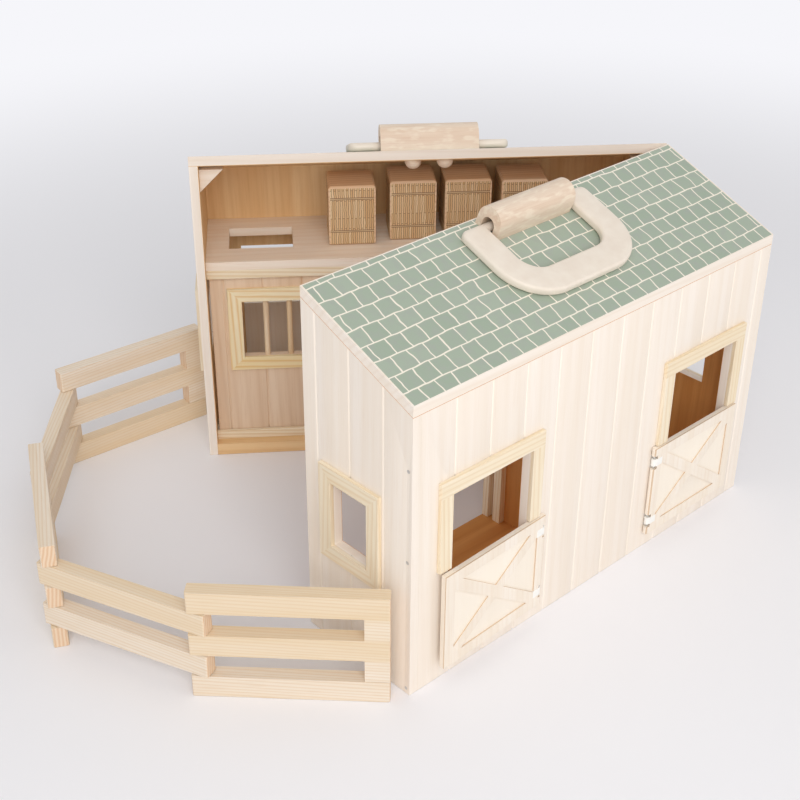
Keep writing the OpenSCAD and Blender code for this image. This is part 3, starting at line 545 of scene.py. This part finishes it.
# The two sliding stall doors: a 5 mm grooved plywood panel, a mitred pine frame glued round its
# window and three bare dowel bars. The board is a pinkish tan.
STALL_TONES = ("#ead2b8", "#e4c8ab", "#d0ac88")
STALL_FRAME_TONES = ("#f7e9c8", "#f3dca9", "#e3b565")
STALL_FRAME_MID = (0.1034, 0.105)
STALL_FRAME_HALF = (0.0353, 0.0236)
DOWEL_TONES = ("#ecd6b8", "#e0c39d", "#c79f70")

dowel, tree, surface = new_finish("bare birch dowel")
colour, fine = grain(tree, add(tree, "TexCoord").outputs["Object"], 2, DOWEL_TONES, 2.5, 0.3)
close(tree, surface, colour, fine, 0.03, 0.6)
for side in ("left", "right"):
    panel_ply, tree, surface = new_finish(f"{side} stall plywood")
    colour, fine = grain(tree, half_place(tree, True), 2, STALL_TONES, 8.0, 0.2)
    close(tree, surface, colour, fine, 0.04, 0.6)
    sanded(f"{side}_stall_panel", panel_ply, EDGE_MM)

    frame_pine, tree, surface = new_finish(f"{side} stall frame pine")
    place = half_place(tree, True)
    axes = add(tree, "SeparateXYZ", {"Vector": place})
    u = add(tree, "Math", {0: axes.outputs["X"]}, operation="ABSOLUTE")
    lying = mitre(tree, u, axes.outputs["Z"], STALL_FRAME_MID, STALL_FRAME_HALF)
    colour, fine = grain(tree, turned_grain(tree, place, lying, (2, 1, 0)), 2, STALL_FRAME_TONES, 4.5, 0.6)
    close(tree, surface, colour, fine, 0.05, 0.55)
    sanded(f"{side}_stall_frame", frame_pine, EDGE_MM)
    dress(f"{side}_stall_bars", dowel)


# The handle blocks: a bare beech moulding with a round back and an arched socket in each end, nailed
# from below through the roof, and two half-ball caps of the same wood under the nails. Beech is
# pinkish with short pale flecks, drawn here longer than life so that they show.
BLOCK_TONES = ("#e8d5c1", "#e0c6ae", "#caa285")
BLOCK_EDGE_MM = 0.5
FLECK_TONE = "#f4e7d3"
FLECK_SHARE = 0.55

for far, half in ((False, "near"), (True, "far")):
    beech, tree, surface = new_finish(f"{half} bare beech")
    place = half_place(tree, far)
    colour, fine = grain(tree, place, 0, BLOCK_TONES, 4.0, 0.08)
    drawn = add(tree, "Mapping", {"Vector": place, "Scale": (0.35, 1.0, 1.0)})
    ray = add(tree, "TexNoise", {"Vector": drawn, "Scale": 260.0, "Detail": 2.0}).outputs["Fac"]
    bright = add(tree, "MapRange", {"Value": ray, "From Min": 0.50, "From Max": 0.64})
    fleck = add(tree, "Math", {0: bright, 1: FLECK_SHARE}, operation="MULTIPLY")
    flecked = add(tree, "Mix", {"Factor": fleck, "A": colour, "B": ink(FLECK_TONE)}, data_type="RGBA")
    close(tree, surface, flecked, fine, 0.05, 0.6)
    sanded(f"{half}_handle_block", beech, BLOCK_EDGE_MM)
    dress(f"{half}_block_caps", beech)


# The carry handles: a flat cream-lacquered U, 20 mm wide and 6 mm thick with well rounded edges,
# on two round stubs that turn in the block's sockets. The lacquer is satin, with faint clouds.
HANDLE_W = 115.0
GRIP_W = 20.3
HANDLE_T = 6.2
GRIP_S = 25.0
GRIP_R = 34.0
INNER_R = 15.0
PIVOT_S = 89.87
ARM_END_S = 92.9
AXIS_H = 3.5
TIP_R = 6.0
RIM_R = 2.2
STUB_L = 16.7
STUB_R = 3.1
STUB_ROOT = 0.4 * GRIP_W
STUB_CHAMFER = 0.6
NEAR_HANDLE_X = 5.0
CORNER_STEPS = 24
ARM_STEPS = 6
TIP_STEPS = 7
RING_STEPS = 36
HANDLE_SHARP = math.radians(50)
LACQUER_TONES = ("#efe4d6", "#e9dccd")


def to_row(points, mid, far):
    """Slope frame in mm to the row frame in metres: y = s cos p - h sin p and z = eave + s sin p + h cos p.
    For the far half y is mirrored at the ridge, and x and y then turn about the hinge."""
    x, s, h = points[:, 0] + mid, points[:, 1], points[:, 2]
    local_x = x / MM
    local_y = (s * math.cos(ROOF_PITCH) - h * math.sin(ROOF_PITCH)) / MM
    z = EAVE_H + (s * math.sin(ROOF_PITCH) + h * math.cos(ROOF_PITCH)) / MM
    if not far:
        return np.column_stack([local_x, local_y - ROW_BACK, z])
    dx = local_x - HINGE[0]
    dy = HINGE[1] - local_y
    c, s = math.cos(-OPEN_ANGLE), math.sin(-OPEN_ANGLE)
    return np.column_stack([HINGE[0] + c * dx - s * dy, HINGE[1] + s * dx + c * dy - ROW_BACK, z])


def u_curve(half_w, foot, radius, top):
    """Half of a flat U as points (x, s): down the arm from top, then a quarter circle to the middle."""
    arm = np.linspace(top, foot + radius, ARM_STEPS)[:-1]
    angle = np.linspace(math.pi, 1.5 * math.pi, CORNER_STEPS)
    corner = np.column_stack([radius - half_w + radius * np.cos(angle),
                              foot + radius + radius * np.sin(angle)])
    left = np.vstack([np.column_stack([np.full(len(arm), -half_w), arm]), corner])
    return np.vstack([left, left[::-1] * [-1, 1]])


def handle_rings():
    """Rings of a rounded oblong carried along the U between its inner and outer curves. At each arm's
    tip the ring narrows as a quarter circle in plan and thins as a half circle in height."""
    turn = np.linspace(0, math.pi / 2, TIP_STEPS)
    shoulder = ARM_END_S - TIP_R
    outer = u_curve(HANDLE_W / 2, GRIP_S, GRIP_R, shoulder)
    inner = u_curve(HANDLE_W / 2 - GRIP_W, GRIP_S + GRIP_W, INNER_R, shoulder)
    middle, half = (outer + inner) / 2, (outer - inner) / 2
    tip_s = shoulder + TIP_R * np.sin(turn[1:])
    arm_mid = HANDLE_W / 2 - GRIP_W / 2
    tip_half = GRIP_W / 2 - TIP_R + TIP_R * np.cos(turn[1:])
    centres, halves = [], []
    for side in (-1, 1):
        centres.append(np.column_stack([np.full(len(tip_s), side * arm_mid), tip_s]))
        halves.append(np.column_stack([side * tip_half, np.zeros(len(tip_s))]))
    middle = np.vstack([centres[0][::-1], middle, centres[1]])
    half = np.vstack([halves[0][::-1], half, halves[1]])
    over = np.clip(middle[:, 1] - PIVOT_S, 0, ARM_END_S - PIVOT_S) / (ARM_END_S - PIVOT_S)
    thick = HANDLE_T / 2 * np.sqrt(np.clip(1 - over ** 2, 0, 1))
    return middle, half, thick


def ring_quads(count, start):
    """The quads between each ring and the next, for rings of RING_STEPS points numbered from start."""
    i, j = np.meshgrid(np.arange(count - 1), np.arange(RING_STEPS), indexing="ij")
    k = (j + 1) % RING_STEPS
    here, after = start + i * RING_STEPS, start + (i + 1) * RING_STEPS
    return np.stack([here + j, here + k, after + k, after + j], -1).reshape(-1, 4).tolist()


def carry_handle(mid, far):
    """The handle's mesh: the rings joined by quads, and each stub a closed turned pin."""
    middle, half, thick = handle_rings()
    width = np.linalg.norm(half, axis=1)
    unit = half / width[:, None]
    angle = (np.arange(RING_STEPS) + 0.5) * 2 * math.pi / RING_STEPS
    rim = np.minimum(RIM_R, thick)[:, None]
    across = np.sign(np.cos(angle)) * (width[:, None] - rim) + rim * np.cos(angle)
    height = np.sign(np.sin(angle)) * (thick[:, None] - rim) + rim * np.sin(angle)
    plan = middle[:, None, :] + across[:, :, None] * unit[:, None, :]
    rings = np.dstack([plan, height + AXIS_H]).reshape(-1, 3)
    count = len(middle)
    faces = ring_quads(count, 0)
    faces.append(list(range(RING_STEPS)))
    faces.append(list(range((count - 1) * RING_STEPS, count * RING_STEPS))[::-1])
    points = [rings]
    profile = np.array([(-STUB_ROOT, 0.0), (-STUB_ROOT, STUB_R), (STUB_L - STUB_CHAMFER, STUB_R),
                        (STUB_L, STUB_R - STUB_CHAMFER), (STUB_L, 0.0)])
    for side in (-1, 1):
        start = sum(len(p) for p in points)
        turn = np.arange(RING_STEPS) * 2 * math.pi / RING_STEPS
        x = side * (HANDLE_W / 2 - GRIP_W - profile[:, 0])
        pin = np.stack([np.broadcast_to(x[:, None], (len(profile), RING_STEPS)),
                        PIVOT_S + profile[:, 1, None] * np.cos(turn),
                        AXIS_H + profile[:, 1, None] * np.sin(turn)], -1)
        points.append(pin.reshape(-1, 3))
        faces += ring_quads(len(profile), start)
    return to_row(np.vstack(points), mid, far), faces


lacquer, tree, surface = new_finish("cream-lacquered beech")
place = add(tree, "TexCoord").outputs["Object"]
cloud = add(tree, "TexNoise", {"Vector": place, "Scale": 120.0, "Detail": 3.0}).outputs["Fac"]
warm = add(tree, "MapRange", {"Value": cloud, "From Min": 0.3, "From Max": 0.7})
colour = add(tree, "Mix", {"Factor": warm, "A": ink(LACQUER_TONES[0]), "B": ink(LACQUER_TONES[1])},
             data_type="RGBA")
skin = add(tree, "TexNoise", {"Vector": place, "Scale": 900.0, "Detail": 2.0}).outputs["Fac"]
close(tree, surface, colour, skin, 0.02, 0.42)
for half, far, mid in (("near", False, NEAR_HANDLE_X), ("far", True, 0.0)):
    points, faces = carry_handle(mid, far)
    mesh = bpy.data.meshes.new(f"{half}_lacquered_handle")
    mesh.from_pydata(points.tolist(), [], faces)
    work = bmesh.new()
    work.from_mesh(mesh)
    bmesh.ops.remove_doubles(work, verts=work.verts, dist=MERGE)
    bmesh.ops.recalc_face_normals(work, faces=work.faces)
    work.to_mesh(mesh)
    work.free()
    mesh.shade_smooth()
    mesh.set_sharp_from_angle(angle=HANDLE_SHARP)
    mesh.materials.append(lacquer)
    piece = bpy.data.objects.new(f"{half}_lacquered_handle", mesh)
    bpy.context.scene.collection.objects.link(piece)
    dress(f"{half}_handle", lacquer)
    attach(piece, f"{half}_carry_handle")
    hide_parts(f"{half}_handle")


# The folding fence: flat pine rails with softened edges, two or three to a panel with short blocks
# between them at the barn ends, threaded on round dowels so that the panels fold. Some rails are
# yellower than others, and the cut ends are browner with growth rings.
BEARINGS = (175.4, 228.3, 243.0, 292.0, 314.6)
RAIL_EDGE_MM = 0.8
FENCE_TONES = ("#f0e4d5", "#ead9c3", "#dabb92")
YELLOW_RAIL = "#dfc08a"
RAIL_PITCH = 0.0161
PANEL_SEED = 7.3
YELLOW_SHARE = 0.4
END_TONES = ("#ecd4ba", "#dfbb97")

for number, bearing in enumerate(BEARINGS, 1):
    rail_pine, tree, surface = new_finish(f"fence panel {number} pine")
    spot = add(tree, "TexCoord")
    turn = (0.0, 0.0, math.radians(bearing))
    along = add(tree, "Mapping", {"Vector": spot.outputs["Object"], "Rotation": turn},
                vector_type="TEXTURE")
    facing = add(tree, "Mapping", {"Vector": spot.outputs["Normal"], "Rotation": turn},
                 vector_type="TEXTURE")
    figure, fine = grain(tree, along, 0, FENCE_TONES, 2.4, 0.45, shift=0.13 * number)
    height = add(tree, "SeparateXYZ", {"Vector": along}).outputs["Z"]
    step = add(tree, "Math", {0: height, 1: RAIL_PITCH}, operation="DIVIDE")
    level = add(tree, "Math", {0: step}, operation="FLOOR")
    seed = add(tree, "Math", {0: level, 1: PANEL_SEED * number}, operation="ADD")
    draw = add(tree, "TexWhiteNoise", {"W": seed}, noise_dimensions="1D").outputs["Value"]
    yellow = add(tree, "MapRange", {"Value": draw, "From Min": 0.3, "From Max": 1.0})
    tint = add(tree, "Math", {0: yellow, 1: YELLOW_SHARE}, operation="MULTIPLY")
    colour = add(tree, "Mix", {"Factor": tint, "A": figure, "B": ink(YELLOW_RAIL)}, data_type="RGBA")
    rings = add(tree, "TexWave", {"Vector": along, "Scale": 130.0, "Distortion": 1.5}, wave_type="RINGS",
                rings_direction="X").outputs["Fac"]
    end_colour = add(tree, "Mix", {"Factor": rings, "A": ink(END_TONES[0]), "B": ink(END_TONES[1])},
                     data_type="RGBA")
    square = add(tree, "SeparateXYZ", {"Vector": facing}).outputs["X"]
    squareness = add(tree, "Math", {0: square}, operation="ABSOLUTE")
    end = add(tree, "MapRange", {"Value": squareness, "From Min": 0.75, "From Max": 0.9})
    whole = add(tree, "Mix", {"Factor": end, "A": colour, "B": end_colour}, data_type="RGBA")
    close(tree, surface, whole, fine, 0.06, 0.6)
    sanded(f"fence_panel_{number}", rail_pine, RAIL_EDGE_MM)
for name in ("fence_pins_2", "fence_pins_4"):
    dress(name, dowel)


# The four bales: blocks of pine with straw printed on their four sides in brown and yellow strokes,
# two lines of twine round each, and the bare top of the block.
BALE_L = 0.035
BALE_D = 0.034
BALE_H = 0.047
LOFT_Z = 0.162
BALES = ((-0.0715, 0.065), (-0.0255, 0.059), (0.016, 0.059), (0.058, 0.0625))
STRAW_TONES = ("#e6cda6", "#cfa878")
STROKE_TONE = "#7c5634"
STRAW_WIDE = 0.00155
STRAW_LONG = 0.022
STRAW_JOINT = 0.00018
STRAW_SWAY = 0.0016
TOP_TONES = ("#f0d4b4", "#e4c09a", "#c69b72")
TWINE_Z = (0.01175, 0.0376)
TWINE_T = 0.0009
TWINE_LINES = ((TWINE_T, 0.85, STROKE_TONE), (TWINE_T * 0.35, 0.8, STRAW_TONES[0]))
BALE_EDGE_MM = 0.4
PRINT_RIM = 0.0012

for number, (left, front) in enumerate(BALES, 1):
    straw, tree, surface = new_finish(f"bale {number} straw print on pine")
    corner = {"Vector": half_place(tree, True), "Location": (-left, BALE_D - front, -LOFT_Z)}
    place = add(tree, "Mapping", corner)
    axes = add(tree, "SeparateXYZ", {"Vector": place})
    sway = add(tree, "TexNoise", {"Vector": place, "Scale": 160.0, "Detail": 1.0}).outputs["Fac"]
    round_box = add(tree, "Math", {0: axes.outputs["X"], 1: axes.outputs["Y"]}, operation="ADD")
    swing = add(tree, "Math", {0: sway, 1: STRAW_SWAY}, operation="MULTIPLY")
    bent = add(tree, "Math", {0: round_box, 1: swing}, operation="ADD")
    upright = add(tree, "CombineXYZ", {"X": axes.outputs["Z"], "Y": bent})
    stalks = add(tree, "TexBrick", {
        "Vector": upright, "Scale": 1.0, "Brick Width": STRAW_LONG, "Row Height": STRAW_WIDE,
        "Mortar Size": STRAW_JOINT, "Mortar Smooth": 0.3,
        "Color1": ink(STRAW_TONES[0]), "Color2": ink(STRAW_TONES[1]), "Mortar": ink(STROKE_TONE)},
        offset=0.37)
    drawn = stalks.outputs["Color"]
    for z in TWINE_Z:
        offset = add(tree, "Math", {0: axes.outputs["Z"], 1: z}, operation="SUBTRACT")
        off = add(tree, "Math", {0: offset}, operation="ABSOLUTE")
        for half_width, share, tone in TWINE_LINES:
            within = add(tree, "Math", {0: off, 1: half_width}, operation="LESS_THAN")
            shown = add(tree, "Math", {0: within, 1: share}, operation="MULTIPLY")
            drawn = add(tree, "Mix", {"Factor": shown, "A": drawn, "B": ink(tone)}, data_type="RGBA")
    bare, fine = grain(tree, place, 0, TOP_TONES, 4.0, 0.4, shift=0.1 * number)
    from_side = []
    for axis, size in (("X", BALE_L), ("Y", BALE_D)):
        rest = add(tree, "Math", {0: size, 1: axes.outputs[axis]}, operation="SUBTRACT")
        from_side.append(add(tree, "Math", {0: axes.outputs[axis], 1: rest}, operation="MINIMUM"))
    flat = add(tree, "Math", {0: from_side[0], 1: from_side[1]}, operation="MAXIMUM")
    inner = add(tree, "Math", {0: flat, 1: PRINT_RIM}, operation="GREATER_THAN")
    below = add(tree, "Math", {0: axes.outputs["Z"], 1: BALE_H - PRINT_RIM}, operation="LESS_THAN")
    clear = add(tree, "Math", {0: axes.outputs["Z"], 1: PRINT_RIM}, operation="GREATER_THAN")
    level = add(tree, "Math", {0: below, 1: clear}, operation="MULTIPLY")
    printed = add(tree, "Math", {0: inner, 1: level}, operation="MULTIPLY")
    colour = add(tree, "Mix", {"Factor": printed, "A": bare, "B": drawn}, data_type="RGBA")
    close(tree, surface, colour, fine, 0.04, 0.62)
    sanded(f"hay_bale_{number}", straw, BALE_EDGE_MM)
